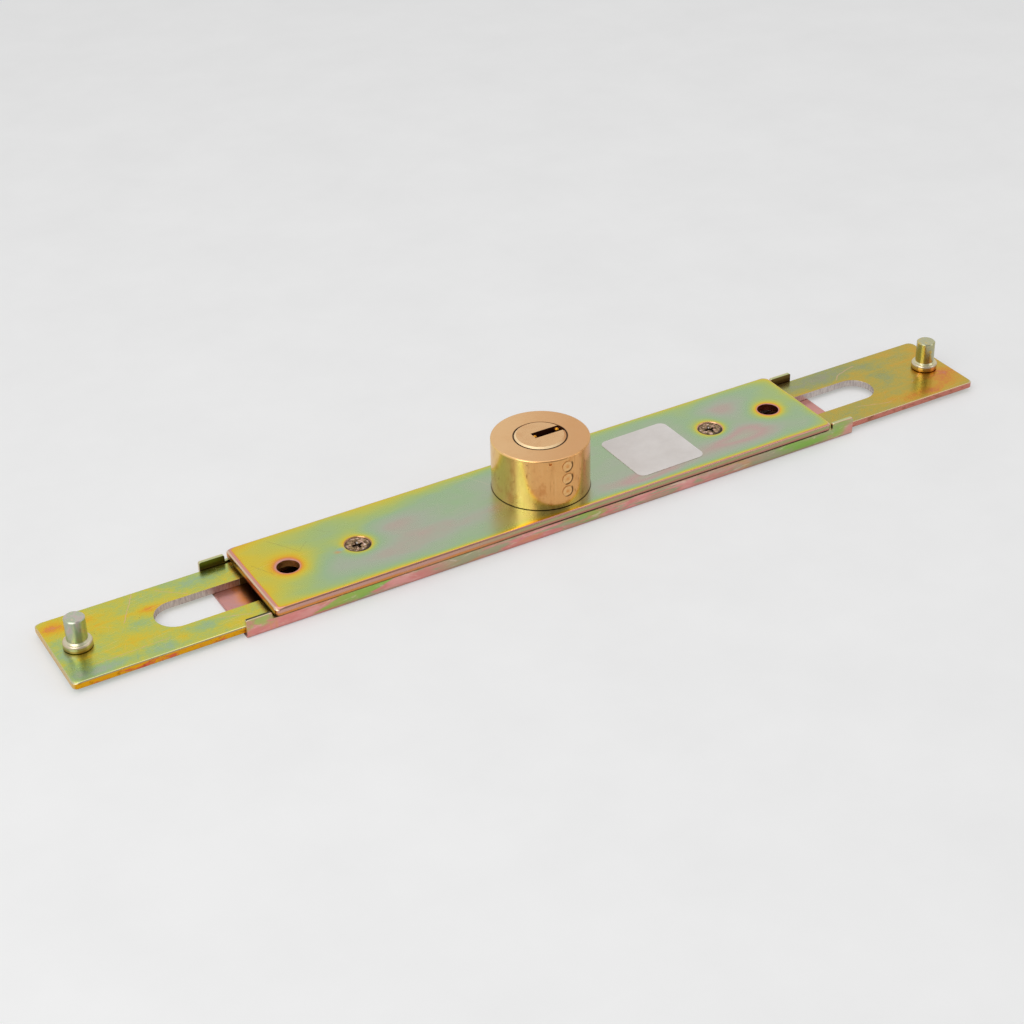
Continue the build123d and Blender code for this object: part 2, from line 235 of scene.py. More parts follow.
class Shader(Nodes):
    """One material, whose expressions know the place on the object in millimetres."""

    def __init__(self, name):
        self.material = bpy.data.materials.new(name)
        self.material.use_nodes = True
        super().__init__(self.material.node_tree)
        place = self.node("ShaderNodeTexCoord").outputs["Object"]
        self.place = self.vector("MULTIPLY", place, (1 / MM, 1 / MM, 1 / MM))
        parts = self.node("ShaderNodeSeparateXYZ", Vector=self.place)
        self.x, self.y, self.z = parts.outputs
        normal = self.node("ShaderNodeNewGeometry").outputs["Normal"]
        facing = self.node("ShaderNodeSeparateXYZ", Vector=normal)
        self.nx, self.ny, self.nz = facing.outputs

    def vector(self, operation, *values):
        made = self.node("ShaderNodeVectorMath")
        made.operation = operation
        for socket, value in zip(made.inputs, values):
            self.put(socket, value)
        return made.outputs[0]

    def towards(self, x, y):
        """How far a point lies in a level direction."""
        return self.add(self.times(self.x, x), self.times(self.y, y))

    def right_half(self):
        """0 left of the lock's middle and 1 right of it."""
        return self.step(self.x, -1.0, 1.0)

    def end_face(self):
        """1 on faces that look along X."""
        return self.step(self.size(self.nx), 0.5, 0.8)

    def fade(self, distance, width):
        """1 at no distance, falling off smoothly over a width."""
        ratio = self.over(self.most(distance, 0.0), width)
        return self.math("EXPONENT", self.times(ratio, -1.0))

    def distance(self, x=0.0, y=0.0):
        """How far a point is from an upright line, which is the cylinder's axis unless told."""
        return self.hypot(self.minus(self.x, x), self.minus(self.y, y))

    def from_pair(self, x):
        """How far a point is from the nearer of two upright lines, one at each side."""
        return self.least(self.distance(-x), self.distance(x))

    def cornered(self, first, second, radius):
        """The distance from two edges that meet, rounded off where both are near."""
        across = self.most(self.minus(radius, first), 0.0)
        along = self.most(self.minus(radius, second), 0.0)
        return self.minus(radius, self.hypot(across, along))

    def rim(self, film, distance, narrow, deep, wide, shallow):
        """The film thins twice towards an edge: over a wide band and then over a narrow one."""
        film = self.times(film, self.flip(self.times(self.fade(distance, narrow), deep)))
        return self.times(film, self.flip(self.times(self.fade(distance, wide), shallow)))

    def spot(self, x, y, reach_x, reach_y):
        """A soft oval patch, 1 at its middle."""
        across = self.over(self.minus(self.x, x), reach_x)
        along = self.over(self.minus(self.y, y), reach_y)
        return self.math("EXPONENT", self.times(self.squares(across, along), -1.0))

    def spots(self, value, patches):
        """A value with soft patches added: middle, reach along X and Y, and change."""
        for x, y, reach_x, reach_y, shift in patches:
            value = self.add(value, self.times(self.spot(x, y, reach_x, reach_y), shift))
        return value

    def noise(self, scale, detail=3.0, roughness=0.55, stretch=(1, 1, 1), shift=0.0, warp=0.0):
        """Fractal noise from 0 to 1, with about so many blotches to the millimetre."""
        place = self.vector("MULTIPLY", self.place, stretch)
        place = self.vector("ADD", place, (shift, shift * 1.7, shift * 0.6))
        made = self.node("ShaderNodeTexNoise", Vector=place, Scale=scale, Detail=detail)
        made.inputs["Roughness"].default_value = roughness
        made.inputs["Distortion"].default_value = warp
        return made.outputs[0]

    def ramp(self, value, stops):
        """The colour at a value, from stops of a place and a colour each."""
        made = self.node("ShaderNodeValToRGB", Fac=value)
        ramp = made.color_ramp
        while len(ramp.elements) < len(stops):
            ramp.elements.new(0.5)
        for element, (at, colour) in zip(ramp.elements, stops):
            element.position = at
            element.color = (*linear(colour), 1)
        return made.outputs[0]

    def blend(self, share, first, second, mode="MIX"):
        """A colour between two others, or the first changed by the second as the mode says."""
        made = self.node("ShaderNodeMix")
        made.data_type = "RGBA"
        made.blend_type = mode
        self.put(made.inputs[0], share)
        self.put(made.inputs[6], first)
        self.put(made.inputs[7], second)
        return made.outputs[2]

    def mix(self, share, first, second):
        """A number between two others."""
        made = self.node("ShaderNodeMix")
        self.put(made.inputs[0], share)
        self.put(made.inputs[2], first)
        self.put(made.inputs[3], second)
        return made.outputs[0]

    def line(self, start, end, width):
        """A thin straight scratch on the top, from one point to another, with its half width."""
        (x0, y0), (x1, y1) = start, end
        length = math.hypot(x1 - x0, y1 - y0)
        ux, uy = (x1 - x0) / length, (y1 - y0) / length
        dx, dy = self.minus(self.x, x0), self.minus(self.y, y0)
        along = self.add(self.times(dx, ux), self.times(dy, uy))
        wander = self.sway(self.noise(0.35, 2.0), 1.6)
        off = self.size(self.add(self.times(dx, -uy), self.times(dy, ux), wander))
        inside = self.times(self.step(along, -0.5, 0.5), self.step(along, length + 0.5, length - 0.5))
        return self.times(inside, self.step(off, width, 0.0))

    def hairlines(self, turn, amount, shift):
        """Fine scratches that run one way, thinly scattered."""
        cos, sin = math.cos(math.radians(turn)), math.sin(math.radians(turn))
        along, across = self.towards(cos, sin), self.towards(-sin, cos)
        bend = self.times(self.noise(0.05, 1.0, shift=shift), 3.0)
        place = self.node("ShaderNodeCombineXYZ", X=self.times(along, 0.045),
                          Y=self.times(self.add(across, bend), 2.4), Z=shift).outputs[0]
        made = self.node("ShaderNodeTexNoise", Vector=place, Scale=1.0, Detail=1.0)
        return self.step(made.outputs[0], 1 - amount, 1 - amount + 0.035)

    def bump(self, height, depth):
        """Fine relief, so many millimetres deep."""
        return self.node("ShaderNodeBump", Height=height, Strength=1.0, Distance=depth * MM).outputs[0]

    def surface(self, colour, roughness, normal, metallic=1.0):
        """The finished material, a metal unless told."""
        return self.finish(self.node("ShaderNodeBsdfPrincipled", Base_Color=colour,
                                     Roughness=roughness, Metallic=metallic, Normal=normal))

    def finish(self, surface):
        output = self.node("ShaderNodeOutputMaterial", Surface=surface.outputs[0])
        self.tree.nodes.active = output
        return self.material


def plating(s, film, dirt, shine, grain, scratched=0.28):
    """Yellow zinc: the film's colour, with specks, fine scratches and uneven gloss."""
    fine = s.noise(1.3, 4.0, 0.7, shift=3.0)
    film = s.add(film, s.sway(fine, grain))
    colour = s.ramp(s.math("MAXIMUM", film, 0.0, clamp=True), film_colours)
    cloud = s.noise(0.16, 5.0, 0.65, shift=9.0)
    dull = s.times(s.step(cloud, 0.55, 0.8), 0.16 * dirt)
    colour = s.blend(dull, colour, (150, 128, 92), "MULTIPLY")
    specks = s.step(s.noise(1.1, 2.0, 0.5, shift=21.0), 0.735, 0.76)
    colour = s.blend(s.times(specks, dirt), colour, (112, 92, 58))
    lines = s.most(s.hairlines(turn=8, amount=0.30, shift=5.0),
                   s.hairlines(turn=-38, amount=0.285, shift=12.0),
                   s.hairlines(turn=66, amount=0.28, shift=31.0))
    colour = s.blend(s.times(lines, scratched), colour, (224, 200, 178))
    roughness = s.mix(cloud, shine, shine + 0.12)
    roughness = s.add(roughness, s.times(lines, 0.12))
    height = s.add(s.noise(0.5, 3.0, shift=1.0), s.times(lines, -0.25), s.times(fine, 0.25))
    return colour, roughness, height


# Places where the cover's film is thicker or thinner: middle, reach along X and Y, and change
cover_patches = (
    (-104, -8, 16, 9, 0.08), (-108, 14, 22, 10, -0.03), (-96, 19, 20, 4, 0.05),
    (-44, -7, 26, 7, 0.11), (-64, 6, 12, 7, 0.12), (-20, 14, 18, 7, 0.02),
    (90, -12, 22, 6, 0.19), (98, 11, 14, 6, 0.10), (42, -18, 20, 4, 0.18),
    (-78, -13, 20, 6, 0.08), (-86, 12, 24, 8, -0.02),
)


def cover_film(s):
    """Film of the cover's top: green-grey in the middle, thinner towards edges and holes."""
    wave = s.noise(0.055, 3.0, 0.5, stretch=(0.6, 1.2, 1), shift=4.0, warp=0.4)
    left = s.add(s.x, cover_half_length)
    right = s.minus(cover_half_length, s.x)
    near = s.add(s.y, cover_half_width)
    far = s.minus(cover_half_width, s.y)
    lean = s.step(s.x, 60.0, -128.0)
    film = s.rim(cover_level, left, 4.0, 0.1, 15.0, 0.44)
    film = s.rim(film, right, 0.8, 0.6, 3.5, 0.3)
    film = s.rim(film, near, 0.9, 0.85, 2.0, 0.45)
    film = s.rim(film, far, 0.5, 0.4, s.mix(lean, 2.6, 8.5), 0.50)
    for side, reach in ((-1, 1.0), (1, 0.5)):
        gap = s.minus(s.distance(side * mount_x), mount_radius)
        film = s.rim(film, gap, 2.0 * reach, 0.98, 7.0 * reach, 0.5)
        gap = s.minus(s.distance(side * screw_x), screw_radius)
        film = s.rim(film, gap, 0.9, 0.55, 3.0, 0.45)
    film = s.add(film, s.sway(wave, 0.34))
    film = s.spots(film, cover_patches)
    end_band = s.cornered(left, s.times(s.least(near, far), 3.0), 6.0)
    return s.mix(s.step(end_band, 2.4, 1.4), film, 0.07)


def cover_walls(s):
    """Colour of the cover's sides: pink and orange on the left, olive above dark pink on the right, with
    painted shade low on the end faces and a painted shadow line along the foot on the right.
    """
    low = s.step(s.add(s.z, s.sway(s.noise(0.3, 2.0, stretch=(0.3, 1, 1), shift=8.0), 0.5)), 7.5, 6.9)
    left_side = s.blend(low, (214, 164, 150), (222, 148, 82))
    right_side = s.blend(low, (180, 178, 128), (198, 136, 118))
    side = s.blend(s.step(s.x, *cover_turn), left_side, right_side)
    cloud = s.step(s.noise(0.1, 3.0, stretch=(0.4, 1, 1), shift=8.0), 0.5, 0.7)
    side = s.blend(s.times(cloud, 0.5), side, (206, 160, 150))
    # The end faces orange, with painted shade, dark brown, on their lower part.
    end = s.blend(s.step(s.z, 7.0, 6.5), (230, 156, 84), (96, 58, 36))
    side = s.blend(s.end_face(), side, end)
    # Painted shadow: a dark line along the foot of the cover's side on the right, where shade falls under
    # its edge.
    shade = s.times(s.step(s.z, cover_bottom + 0.5, cover_bottom + 0.3), s.step(s.x, -50.0, 0.0))
    return s.blend(s.times(shade, 0.9), side, (30, 20, 16))


def cover_material():
    """The cover plate's plating, with its holes, rolled edges, marks and one stain, a painted highlight
    on its end edges and painted shade round the cylinder's foot.
    """
    s = Shader("zinc_cover_plating")
    colour, roughness, height = plating(s, cover_film(s), dirt=0.14, shine=0.22, grain=0.02,
                                        scratched=0.14)
    wall = s.step(s.nz, 0.55, 0.25)
    colour = s.blend(wall, colour, cover_walls(s))
    hole = s.step(s.from_pair(mount_x), mount_radius + 0.3, mount_radius + 0.05)
    hole_wall = s.blend(s.right_half(), (228, 172, 100), (164, 84, 62))
    colour = s.blend(s.times(hole, wall), colour, hole_wall)
    roughness = s.add(roughness, s.times(hole, wall, 0.13))
    fold = s.times(s.step(s.nz, 0.985, 0.93), s.step(s.nz, 0.22, 0.5), s.flip(hole))
    fold_colour = s.blend(s.step(s.x, *cover_turn), (176, 134, 112), (214, 162, 148))
    # Painted highlight: a cream line along the rolled edge at each end.
    painted_end_highlight = s.step(s.size(s.x), cover_half_length - 1.3, cover_half_length - 0.8)
    fold_colour = s.blend(painted_end_highlight, fold_colour, (232, 212, 180))
    colour = s.blend(s.times(fold, 0.75), colour, fold_colour)
    # Painted shade: a dark ring on the cover round the cylinder's foot.
    foot = s.minus(s.distance(), cylinder_radius)
    colour = s.blend(s.times(s.step(foot, 0.45, 0.05), 0.8), colour, (70, 52, 28))
    marks = s.most(s.line((-112, 20), (-104, 7), 0.2), s.line((-104, 7), (-99, 12), 0.16),
                   s.line((-124, 8), (-119, -2), 0.2), s.line((-93, 18), (-88, 13), 0.14))
    colour = s.blend(s.times(marks, 0.45), colour, (142, 120, 84))
    scratch = s.most(s.line((-24, 22), (-18, 10), 0.2), s.line((-34, 20), (-21, 18.5), 0.14))
    colour = s.blend(s.times(scratch, 0.5), colour, (228, 210, 184))
    colour = s.blend(s.times(s.spot(-91.6, -1.2, 1.3, 1.0), 0.7), colour, (230, 150, 82))
    colour = s.blend(s.times(s.spot(-89.9, -0.2, 1.8, 1.2), 0.8), colour, (150, 192, 184))
    return s.surface(colour, roughness, s.bump(height, 0.007))


# Longer scratches on each bolt bar: from, to and half width
wear_lines = {
    "left": (((-168.5, 20.5), (-177.6, 4.3), 0.28), ((-160, 18), (-150, 9.5), 0.2),
             ((-196, -14), (-166, -13), 0.18), ((-146, -11), (-134, -15), 0.2)),
    "right": (((171, 17), (160, 14), 0.3), ((160, 14), (157, 11), 0.3), ((184, -8), (204, 4), 0.18),
              ((150, -12), (166, -17), 0.2)),
}

# Places where each bar's film is thicker or thinner: middle, reach along X and Y, and change
bar_patches = {
    "left": (
        (-193, 14, 9, 4, -0.22), (-203, 15, 5, 5, -0.32), (-166, 8, 5, 3, -0.20), (-178, -6, 7, 3, -0.14),
        (-183, -12, 6, 3, -0.08), (-203, -8, 3, 14, 0.20), (-196, -18, 12, 3, 0.22),
        (-170, -17, 10, 3, 0.16), (-172, 1, 6, 4, 0.10), (-146, 17, 14, 4, 0.14), (-152, -13, 8, 3, 0.16),
        (-162, -15, 4, 3, -0.16), (-140, -17, 6, 3, -0.12), (-185, 4, 8, 5, -0.06)),
    "right": (
        (186, 18, 9, 3, -0.14), (168, 12, 4, 3, -0.16), (200, -10, 10, 8, -0.30),
        (204, 10, 5, 10, -0.16), (150, 16, 18, 5, 0.24), (178, 14, 10, 5, 0.10), (176, 4, 6, 8, 0.06),
        (168, -16, 14, 4, -0.10), (184, -18, 12, 4, -0.27), (146, -14, 8, 4, 0.06)),
}

# What sets the noise of one bar apart from the other's
bar_shifts = {"left": 4, "right": 5}

# Colours of each bar: its tone, pale and red of its outer sides, dark and pale of its slot walls
bar_looks = {
    "left": ((255, 255, 250), (236, 170, 30), (224, 106, 74), (190, 174, 166), (222, 208, 196)),
    "right": ((238, 218, 208), (214, 136, 120), (158, 104, 78), (206, 194, 190), (234, 224, 218)),
}


def bar_film(s, side):
    """Film of a bar: mottled at three sizes, patched, and thinner beside the slot."""
    own = bar_shifts[side]
    broad = s.noise(0.09, 4.0, 0.6, stretch=(0.7, 1.1, 1), shift=2.0 + own, warp=0.6)
    small = s.noise(0.33, 4.0, 0.65, stretch=(0.8, 1, 1), shift=7.0 + own, warp=0.8)
    fine = s.noise(1.1, 3.0, 0.6, stretch=(0.8, 1, 1), shift=21.0 + own, warp=0.6)
    film = s.add(bar_level, s.sway(broad, 0.30), s.sway(small, 0.34), s.sway(fine, 0.13))
    film = s.spots(film, bar_patches[side])
    slot = s.size(s.minus(s.size(s.y), slot_half))
    return s.add(film, s.times(s.fade(slot, 1.1), -0.10))


def bar_sides(s, pale, red):
    """Colour of a bar's outer sides: pale, streaked with red and scuffed."""
    streak = s.noise(0.2, 4.0, 0.7, stretch=(0.5, 0.5, 1.6), shift=6.0)
    sides = s.blend(s.step(streak, 0.52, 0.66), pale, red)
    scuff = s.step(s.noise(0.8, 4.0, 0.7, stretch=(0.6, 1, 1), shift=19.0), 0.52, 0.7)
    return s.blend(s.times(scuff, 0.5), sides, (150, 104, 70), "MULTIPLY")


def bar_material(side):
    """A bolt bar: olive yellow top with green and orange patches and rough sheared walls, paler rounded
    edges partly painted as highlight, and on the left bar the cover's shadow and a highlight line painted
    on the slot walls.
    """
    s = Shader("zinc_bar_" + side + "_plating")
    tone, pale_side, red_side, dark_shear, pale_shear = bar_looks[side]
    colour, roughness, height = plating(s, bar_film(s, side), dirt=0.7, shine=0.2, grain=0.18)
    colour = s.blend(1.0, colour, tone, "MULTIPLY")
    if side == "right":
        colour = s.blend(0.08, colour, (186, 164, 130))
    wall = s.step(s.size(s.nz), 0.6, 0.3)
    colour = s.blend(wall, colour, bar_sides(s, pale_side, red_side))
    inner = s.times(wall, s.step(s.size(s.y), slot_half + 3, slot_half + 1),
                    s.step(s.size(s.x), bar_end - 12, bar_end - 14))
    shear = s.noise(1.6, 3.0, 0.7, stretch=(1, 1, 0.16), shift=5.0)
    sheared = s.blend(s.step(shear, 0.36, 0.66), dark_shear, pale_shear)
    if side == "left":
        # On the left bar, the slot walls near and under the cover's end are painted olive-brown as the
        # cover's shadow.
        smooth = s.step(s.size(s.x), cover_shadow_start + 0.15, cover_shadow_start - 0.15)
        sheared = s.blend(smooth, sheared, (158, 128, 66))
    colour = s.blend(inner, colour, sheared)
    if side == "left":
        end = s.times(wall, s.end_face(), s.step(s.size(s.x), bar_end - 3, bar_end - 1))
        colour = s.blend(s.times(end, 0.75), colour, (236, 204, 130))
        # A painted highlight line on the far slot wall, at the edge of that painted shadow.
        shadow_edge_highlight = s.times(s.step(s.size(s.add(s.x, cover_shadow_start)), 0.3, 0.12), s.step(s.y, 0.0, 1.0))
        colour = s.blend(s.times(inner, shadow_edge_highlight), colour, (252, 244, 226))
    # The rounded top edges paler: thinner, rubbed film with a painted highlight over it.
    rounded = s.times(s.step(s.size(s.nz), 0.25, 0.5), s.step(s.size(s.nz), 0.985, 0.93))
    colour = s.blend(s.times(rounded, 0.6), colour, (226, 204, 180))
    for start, end, width in wear_lines[side]:
        colour = s.blend(s.times(s.line(start, end, width), 0.75), colour, (236, 182, 160))
    roughness = s.add(roughness, s.times(inner, 0.2))
    height = s.add(height, s.times(shear, inner, 2.0))
    return s.surface(colour, roughness, s.bump(height, 0.03))


# Olive and green patches on the channel's near side: middle, reach along X and Y, and strength
side_olives = ((-50, -23, 10, 60, 1.0), (104, -23, 26, 60, 1.0))
side_greens = ((8, -23, 14, 60, 0.8), (112, -23, 20, 60, 0.9), (134, -23, 5, 60, 0.4))


def base_greens(s):
    """Where the channel's outer sides are clear green: mottled, with patches and a leaning streak."""
    mottle = s.noise(0.11, 3.0, 0.6, stretch=(0.5, 1, 3.0), shift=11.0, warp=0.5)
    leaning = s.step(s.size(s.add(s.x, s.times(s.z, -2.6), 104.5)), 16.0, 8.0)
    green = s.spots(s.add(s.sway(mottle, 1.3), leaning), side_greens)
    return s.times(s.step(green, 0.45, 0.95), s.step(s.z, 0.6, 1.8))


def base_walls(s):
    """The channel's outer sides: pink, run through with olive-grey and clear green."""
    streak = s.noise(0.11, 4.0, 0.6, stretch=(0.5, 1, 3.2), shift=3.0, warp=0.6)
    olive = s.least(s.spots(s.step(streak, 0.46, 0.62), side_olives), 1.0)
    olive = s.times(olive, s.step(s.x, -108.0, -100.0))
    pale = s.step(s.noise(0.16, 3.0, 0.6, stretch=(0.6, 1, 2.0), shift=27.0, warp=0.4), 0.4, 0.65)
    colour = s.blend(s.times(pale, 0.7), (234, 154, 148), (248, 190, 184))
    colour = s.blend(olive, colour, (186, 184, 150))
    colour = s.blend(s.times(base_greens(s), 0.85), colour, (154, 206, 90))
    stripes = s.step(s.noise(0.5, 2.0, 0.5, stretch=(1, 1, 0.2), shift=4.0), 0.5, 0.65)
    clouds = s.step(s.noise(0.09, 3.0, 0.5, stretch=(0.6, 1, 2.4), shift=23.0, warp=0.6), 0.52, 0.7)
    warm = s.least(s.add(s.times(stripes, s.step(s.x, -125.0, -129.0)), clouds), 1.0)
    colour = s.blend(s.times(warm, 0.45), colour, (234, 172, 108))
    rim_mottle = s.step(s.noise(0.3, 3.0, 0.6, shift=12.0), 0.35, 0.6)
    band = s.times(s.step(s.z, ear_top - 3.6, ear_top - 1.6), s.step(s.z, ear_top - 0.2, ear_top - 0.7))
    colour = s.blend(s.times(band, s.mix(rim_mottle, 0.25, 0.8)), colour, (168, 194, 112))
    glare = s.step(s.noise(0.3, 4.0, 0.65, stretch=(0.4, 1, 1.6), shift=37.0, warp=0.8), 0.56, 0.68)
    colour = s.blend(s.times(glare, 0.5), colour, (250, 226, 206))
    ear_mottle = s.step(s.noise(0.25, 3.0, 0.6, stretch=(1, 1, 1.5), shift=31.0), 0.4, 0.56)
    left_ear = s.times(s.step(s.x, -127.0, -131.0), ear_mottle, s.step(s.z, 2.5, 5.0))
    colour = s.blend(s.times(left_ear, 0.8), colour, (184, 202, 116))
    return s.blend(s.times(s.step(s.z, 1.6, 0.3), 0.6), colour, (206, 136, 128))


def base_material():
    """The channel: pink and green sides and a floor that shows at both ends, with painted shade on that
    floor under the cover and low on the inner walls, a painted dark reflection on the near left ear's top
    and painted highlights on the ear tops' outer edges and the end faces.
    """
    s = Shader("zinc_base_plating")
    from_end = s.minus(base_half_length, s.size(s.x))
    film = s.add(base_level, s.times(s.step(from_end, 4.0, 9.0), 0.12),
                 s.sway(s.noise(0.16, 3.0, 0.5, shift=7.0), 0.16))
    colour, roughness, height = plating(s, film, dirt=0.5, shine=0.24, grain=0.07)
    # Painted shade: the floor turns dark brown where it runs in under the cover.
    deep = s.times(s.step(from_end, 7.5, 12.5), s.step(s.z, sheet + 0.3, sheet + 0.1))
    colour = s.blend(s.times(deep, 0.85), colour, (66, 42, 20))
    outside = s.step(s.size(s.y), base_half_width - 1.0, base_half_width - 0.7)
    colour = s.blend(s.times(outside, s.step(s.nz, 0.8, 0.5)), colour, base_walls(s))
    inside = s.times(s.step(s.z, sheet + 0.6, sheet + 1.2), s.flip(outside))
    # The inner walls: olive film above, with painted shade making their lower part dark.
    low_inner_shade = s.blend(s.right_half(), (92, 80, 40), (84, 60, 40))
    high_film = s.blend(s.right_half(), (140, 144, 66), (136, 108, 74))
    inner_film_and_shade = s.blend(s.step(s.z, ear_top - 2.6, ear_top - 0.4), low_inner_shade, high_film)
    colour = s.blend(inside, colour, inner_film_and_shade)
    top = s.times(s.step(s.nz, 0.6, 0.85), s.step(s.z, side_height - 0.3, side_height - 0.1))
    colour = s.blend(top, colour, (196, 202, 146))
    ear = s.times(top, s.step(s.z, ear_top - 0.6, ear_top - 0.3))
    # Painted highlight: a cream line along the outer edge of the ear tops. Painted reflection: the near
    # left ear's top dark.
    outer = s.step(s.size(s.y), base_half_width - 0.55, base_half_width - 0.35)
    painted_dark_ear_top = s.times(ear, s.flip(outer), s.flip(s.right_half()), s.step(s.y, 1.0, -1.0))
    colour = s.blend(s.times(ear, outer), colour, (232, 214, 180))
    colour = s.blend(s.times(painted_dark_ear_top, 0.9), colour, (50, 38, 24))
    # Painted highlight: the end faces of the sides and ears cream.
    ends = s.times(s.end_face(), s.step(s.z, sheet + 0.4, sheet + 1.0))
    colour = s.blend(s.times(ends, 0.85), colour, (230, 212, 180))
    return s.surface(colour, roughness, s.bump(height, 0.03))


def pin_material(side, tints, shine):
    """A bolt pin: silvery zinc with pink, green and yellow tints, finely turned, with a painted highlight
    ring above the collar and painted shade where it stands on the bar.
    """
    s = Shader("zinc_pin_" + side + "_plating")
    tint = s.noise(0.42, 3.0, 0.6, stretch=(1, 1, 0.6), shift=5.0)
    colour = s.ramp(tint, tuple(zip((0.28, 0.42, 0.55, 0.72), tints)))
    collar = s.step(s.z, collar_top + 0.1, collar_top - 0.2)
    colour = s.blend(collar, colour, (216, 200, 172))
    low = s.step(s.z, bar_top + 1.6, bar_top + 0.9)
    colour = s.blend(s.times(low, 0.75), colour, (192, 140, 66))
    # Painted highlight: a pale ring just above the collar.
    foot = s.times(s.step(s.z, collar_top + 0.75, collar_top + 0.5), s.flip(collar))
    colour = s.blend(s.times(foot, 0.6), colour, (236, 226, 186))
    # Painted shade: dark where the pin stands on the bar.
    contact_shade = s.step(s.z, bar_top + 0.45, bar_top + 0.1)
    colour = s.blend(s.times(contact_shade, 0.85), colour, (46, 34, 16))
    turned = s.noise(2.2, 2.0, 0.6, stretch=(0.15, 0.15, 3.0), shift=2.0)
    roughness = s.mix(tint, shine, shine + 0.1)
    return s.surface(colour, roughness, s.bump(turned, 0.012))


def screw_material():
    """The cover screws: dulled zinc, mottled pink, olive and brown, with painted shade round the rim and
    in the cross and a painted glint.
    """
    s = Shader("screw_dulled_zinc")
    grain = s.noise(0.8, 4.0, 0.7, shift=3.0)
    colour = s.ramp(grain, ((0.36, (52, 36, 28)), (0.45, (122, 92, 66)), (0.52, (166, 144, 98)),
                            (0.58, (214, 160, 148)), (0.66, (250, 236, 216))))
    radius = s.from_pair(screw_x)
    # Painted shade: the head's rim darkened all round, deeper in a crescent at the lower right.
    rim = s.step(radius, screw_radius - 0.8, screw_radius - 0.25)
    colour = s.blend(s.times(rim, 0.8), colour, (58, 38, 30))
    across = s.math("WRAP", s.add(s.x, screw_x), screw_x, -screw_x)
    low_right = s.step(s.add(s.times(across, 0.5), s.times(s.y, -0.86)), 2.2, 4.0)
    crescent = s.times(low_right, s.step(radius, screw_radius - 1.5, screw_radius - 0.9))
    colour = s.blend(s.times(crescent, 0.8), colour, (40, 26, 20))
    head = cover_top - screw_sink
    # Painted shade: dark in the cross below the head's face, with a painted glint on its floor.
    low = s.step(s.z, head - 0.03, head - 0.5)
    colour = s.blend(s.times(low, 0.9), colour, (34, 24, 20))
    glint = s.most(s.spot(0.7 - screw_x, 2.0, 0.6, 0.5), s.spot(screw_x + 0.7, 2.0, 0.6, 0.5))
    colour = s.blend(s.times(low, s.step(glint, 0.3, 0.7)), colour, (240, 232, 226))
    return s.surface(colour, s.mix(grain, 0.42, 0.26), s.bump(grain, 0.06), metallic=0.9)


def from_stack(s):
    """How far a point is from its chamber plug's middle, and how far it lies down and to the right."""
    across = s.minus(s.x, stack_x)
    level = s.math("WRAP", s.minus(s.z, stack_z), stack_pitch / 2, -stack_pitch / 2)
    slant = s.add(s.times(across, 0.8), s.times(level, -0.6))
    return s.hypot(across, level), slant


def brass_side(s, rightwards, streaks):
    """Colour of the cylinder's side: painted light makes it yellower to the left; streaked, smudged and
    specked.
    """
    # Painted light: the side paler and yellower towards the left.
    side = s.blend(s.step(rightwards, -2.0, -9.0), (238, 180, 114), (255, 212, 134))
    side = s.blend(s.times(s.step(streaks, 0.55, 0.75), 0.36), side, (176, 128, 66), "MULTIPLY")
    side = s.blend(s.times(s.step(streaks, 0.42, 0.28), 0.28), side, (252, 216, 160))
    smudge = s.noise(0.2, 4.0, 0.65, stretch=(1, 1, 0.6), shift=30.0)
    side = s.blend(s.times(s.step(smudge, 0.52, 0.68), 0.36), side, (200, 130, 62), "MULTIPLY")
    specks = s.step(s.noise(0.7, 3.0, 0.6, stretch=(1, 1, 0.6), shift=52.0), 0.65, 0.71)
    return s.blend(s.times(specks, 0.6), side, (150, 92, 40), "MULTIPLY")


def brass_shade(s):
    """Painted shade on the cylinder: in the plug groove on the side towards the view, at the seam of its
    foot and a crescent beside each chamber plug.
    """
    groove = s.times(s.step(s.distance(), plug_radius + 0.85, plug_radius + 0.5),
                     s.step(s.towards(view_x, view_y), -9.5, -5.0))
    seam = s.step(s.z, cover_top + 0.35, cover_top + 0.1)
    radius, slant = from_stack(s)
    beside = s.times(s.step(s.size(s.minus(s.z, stack_z)), 1.5 * stack_pitch, 1.4 * stack_pitch),
                     s.step(s.y, -15.0, -16.0))
    crescent = s.times(s.step(radius, 3.0, 2.6), s.step(slant, 0.2, 1.2), beside)
    return s.most(groove, seam, s.times(crescent, 0.9))


